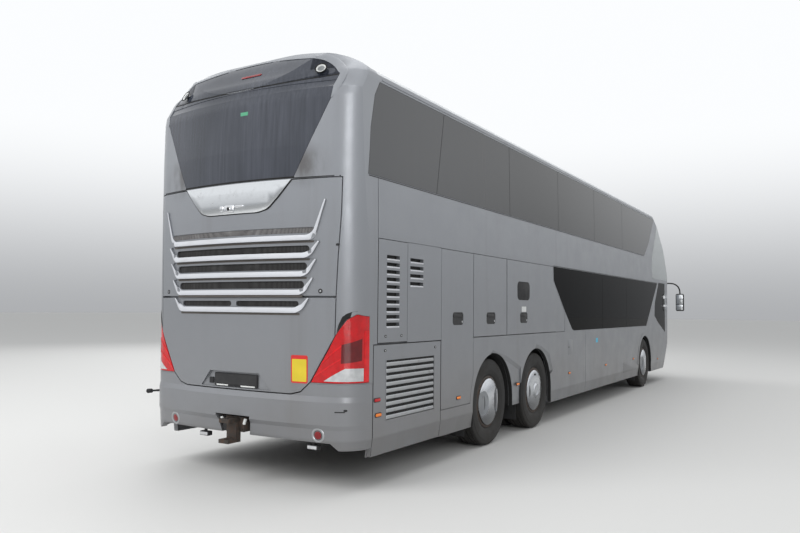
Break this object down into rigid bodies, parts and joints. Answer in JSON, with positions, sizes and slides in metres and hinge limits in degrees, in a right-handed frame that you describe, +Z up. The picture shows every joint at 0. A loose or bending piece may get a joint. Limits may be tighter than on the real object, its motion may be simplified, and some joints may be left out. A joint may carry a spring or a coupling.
{
  "type": "double-deck coach bus",
  "caption": "Three-axle double-deck touring coach, right-hand drive, with opening lids, luggage flaps and doors and steered front and tag wheels.",
  "frame": {"origin": "bottom centre of the whole coach's box, on the ground", "axes": "+X forward, +Y to the left, +Z up"},
  "size_m": [14.16, 3.06, 4.0299],
  "materials": {
    "paint": "satin metallic",
    "privacy_glass": "dark tinted",
    "screen_glass": "tinted",
    "lamp_red": "clear red lens",
    "lamp_clear": "clear lens",
    "black_plastic": "fine grain",
    "frame_steel": "black chassis paint",
    "cast": "rusty",
    "rim": "polished",
    "tyre": "worn",
    "floor": "floor covering",
    "seat_fabric": "woven"
  },
  "bodies": {
    "coach": {"right_side_wall": "paint", "left_side_wall": "paint", "side_glass": "privacy_glass", "rear_shell": "paint", "rear_window": "privacy_glass", "tail_lights": "lamp_red", "rear_bumper": "paint", "front_shell": "paint", "windscreens": "screen_glass", "front_bumper": "paint", "headlights": "lamp_clear", "roof": "paint", "upper_floor": "floor", "lower_floor": "floor", "luggage_floor": "floor", "wheel_housings": "frame_steel", "chassis_frame": "frame_steel", "engine": "cast", "propeller_shaft": "cast", "upper_seats": "seat_fabric", "lower_seats": "seat_fabric", "dashboard": "black_plastic", "stairs": "floor", "mirrors": "black_plastic", "tow_coupling": "cast", "front_axle_beam": "frame_steel", "tag_axle_beam": "frame_steel", "drive_axle_beam": "frame_steel"},
    "front_knuckle_left": {"front_knuckle_left": "frame_steel"},
    "front_wheel_left": {"front_rim_left": "rim", "front_tyre_left": "tyre"},
    "tag_knuckle_left": {"tag_knuckle_left": "frame_steel"},
    "tag_wheel_left": {"tag_rim_left": "rim", "tag_tyre_left": "tyre"},
    "drive_wheels_left": {"drive_rim_left": "rim", "drive_tyres_left": "tyre"},
    "front_knuckle_right": {"front_knuckle_right": "frame_steel"},
    "front_wheel_right": {"front_rim_right": "rim", "front_tyre_right": "tyre"},
    "tag_knuckle_right": {"tag_knuckle_right": "frame_steel"},
    "tag_wheel_right": {"tag_rim_right": "rim", "tag_tyre_right": "tyre"},
    "drive_wheels_right": {"drive_rim_right": "rim", "drive_tyres_right": "tyre"},
    "engine_panel_right": {"engine_panel_right": "paint"},
    "service_door_right": {"service_door_right": "paint"},
    "luggage_flap_right_rear": {"luggage_flap_right_rear": "paint"},
    "luggage_flap_right_front": {"luggage_flap_right_front": "paint"},
    "engine_door_left": {"engine_door_left": "paint"},
    "luggage_flap_left_rear": {"luggage_flap_left_rear": "paint"},
    "luggage_flap_left_front": {"luggage_flap_left_front": "paint"},
    "radiator_door_right": {"radiator_door_right": "paint"},
    "engine_lid_upper": {"engine_lid_upper": "paint"},
    "engine_lid_lower": {"engine_lid_lower": "paint"},
    "middle_door_arm": {"middle_door_arm": "frame_steel"},
    "middle_door": {"middle_door": "paint", "middle_door_glass": "privacy_glass"},
    "front_door_arm": {"front_door_arm": "frame_steel"},
    "front_door": {"front_door": "paint", "front_door_glass": "privacy_glass"}
  },
  "joints": [
    {"name": "steer_front_left", "type": "hinge", "parent": "coach", "child": "front_knuckle_left", "pos_m": [3.91, 0.965, 0.51], "axis": [0, 0, 1], "range_deg": [-40, 40]},
    {"name": "spin_front_left", "type": "hinge", "parent": "front_knuckle_left", "child": "front_wheel_left", "pos_m": [3.91, 1.092, 0.51], "axis": [0, 1, 0], "continuous": true},
    {"name": "steer_tag_left", "type": "hinge", "parent": "coach", "child": "tag_knuckle_left", "pos_m": [-3.99, 0.965, 0.51], "axis": [0, 0, 1], "range_deg": [-12, 12]},
    {"name": "spin_tag_left", "type": "hinge", "parent": "tag_knuckle_left", "child": "tag_wheel_left", "pos_m": [-3.99, 1.092, 0.51], "axis": [0, 1, 0], "continuous": true},
    {"name": "spin_drive_left", "type": "hinge", "parent": "coach", "child": "drive_wheels_left", "pos_m": [-2.49, 1.092, 0.51], "axis": [0, 1, 0], "continuous": true},
    {"name": "steer_front_right", "type": "hinge", "parent": "coach", "child": "front_knuckle_right", "pos_m": [3.91, -0.965, 0.51], "axis": [0, 0, 1], "range_deg": [-40, 40]},
    {"name": "spin_front_right", "type": "hinge", "parent": "front_knuckle_right", "child": "front_wheel_right", "pos_m": [3.91, -1.092, 0.51], "axis": [0, 1, 0], "continuous": true},
    {"name": "steer_tag_right", "type": "hinge", "parent": "coach", "child": "tag_knuckle_right", "pos_m": [-3.99, -0.965, 0.51], "axis": [0, 0, 1], "range_deg": [-12, 12]},
    {"name": "spin_tag_right", "type": "hinge", "parent": "tag_knuckle_right", "child": "tag_wheel_right", "pos_m": [-3.99, -1.092, 0.51], "axis": [0, 1, 0], "continuous": true},
    {"name": "spin_drive_right", "type": "hinge", "parent": "coach", "child": "drive_wheels_right", "pos_m": [-2.49, -1.092, 0.51], "axis": [0, 1, 0], "continuous": true},
    {"name": "engine_panel_right_hinge", "type": "hinge", "parent": "coach", "child": "engine_panel_right", "pos_m": [0, -1.278, 2.237], "axis": [-1, 0, 0], "range_deg": [0, 80]},
    {"name": "service_door_right_hinge", "type": "hinge", "parent": "coach", "child": "service_door_right", "pos_m": [0, -1.278, 2.237], "axis": [-1, 0, 0], "range_deg": [0, 85]},
    {"name": "luggage_flap_right_rear_hinge", "type": "hinge", "parent": "coach", "child": "luggage_flap_right_rear", "pos_m": [0, -1.278, 2.237], "axis": [-1, 0, 0], "range_deg": [0, 85]},
    {"name": "luggage_flap_right_front_hinge", "type": "hinge", "parent": "coach", "child": "luggage_flap_right_front", "pos_m": [0, -1.278, 2.237], "axis": [-1, 0, 0], "range_deg": [0, 85]},
    {"name": "engine_door_left_hinge", "type": "hinge", "parent": "coach", "child": "engine_door_left", "pos_m": [0, 1.278, 2.237], "axis": [1, 0, 0], "range_deg": [0, 80]},
    {"name": "luggage_flap_left_rear_hinge", "type": "hinge", "parent": "coach", "child": "luggage_flap_left_rear", "pos_m": [0, 1.278, 2.237], "axis": [1, 0, 0], "range_deg": [0, 85]},
    {"name": "luggage_flap_left_front_hinge", "type": "hinge", "parent": "coach", "child": "luggage_flap_left_front", "pos_m": [0, 1.278, 2.237], "axis": [1, 0, 0], "range_deg": [0, 85]},
    {"name": "radiator_door_right_hinge", "type": "hinge", "parent": "coach", "child": "radiator_door_right", "pos_m": [0, -1.256, 0.288], "axis": [1, 0, 0], "range_deg": [0, 85]},
    {"name": "engine_lid_upper_hinge", "type": "hinge", "parent": "coach", "child": "engine_lid_upper", "pos_m": [-7.042, 0, 2.741], "axis": [0, 1, 0], "range_deg": [0, 75]},
    {"name": "engine_lid_lower_hinge", "type": "hinge", "parent": "coach", "child": "engine_lid_lower", "pos_m": [-7.006, 0, 1.69], "axis": [0, 1, 0], "range_deg": [0, 70]},
    {"name": "middle_door_swing", "type": "hinge", "parent": "coach", "child": "middle_door_arm", "pos_m": [-0.065, 1.11, 1.3], "axis": [0, 0, -1], "range_deg": [0, 95]},
    {"name": "middle_door_follow", "type": "hinge", "parent": "middle_door_arm", "child": "middle_door", "pos_m": [-0.535, 1.11, 1.3], "axis": [0, 0, 1], "range_deg": [0, 95]},
    {"name": "front_door_swing", "type": "hinge", "parent": "coach", "child": "front_door_arm", "pos_m": [5.885, 1.11, 1.3], "axis": [0, 0, -1], "range_deg": [0, 95]},
    {"name": "front_door_follow", "type": "hinge", "parent": "front_door_arm", "child": "front_door", "pos_m": [5.415, 1.11, 1.3], "axis": [0, 0, 1], "range_deg": [0, 95]}
  ],
  "couplings": [
    {"joint": "steer_front_right", "follows": "steer_front_left", "ratio": 1},
    {"joint": "steer_tag_left", "follows": "steer_front_left", "ratio": -0.28},
    {"joint": "steer_tag_right", "follows": "steer_front_left", "ratio": -0.28},
    {"joint": "middle_door_follow", "follows": "middle_door_swing", "ratio": 1},
    {"joint": "front_door_follow", "follows": "front_door_swing", "ratio": 1}
  ]
}
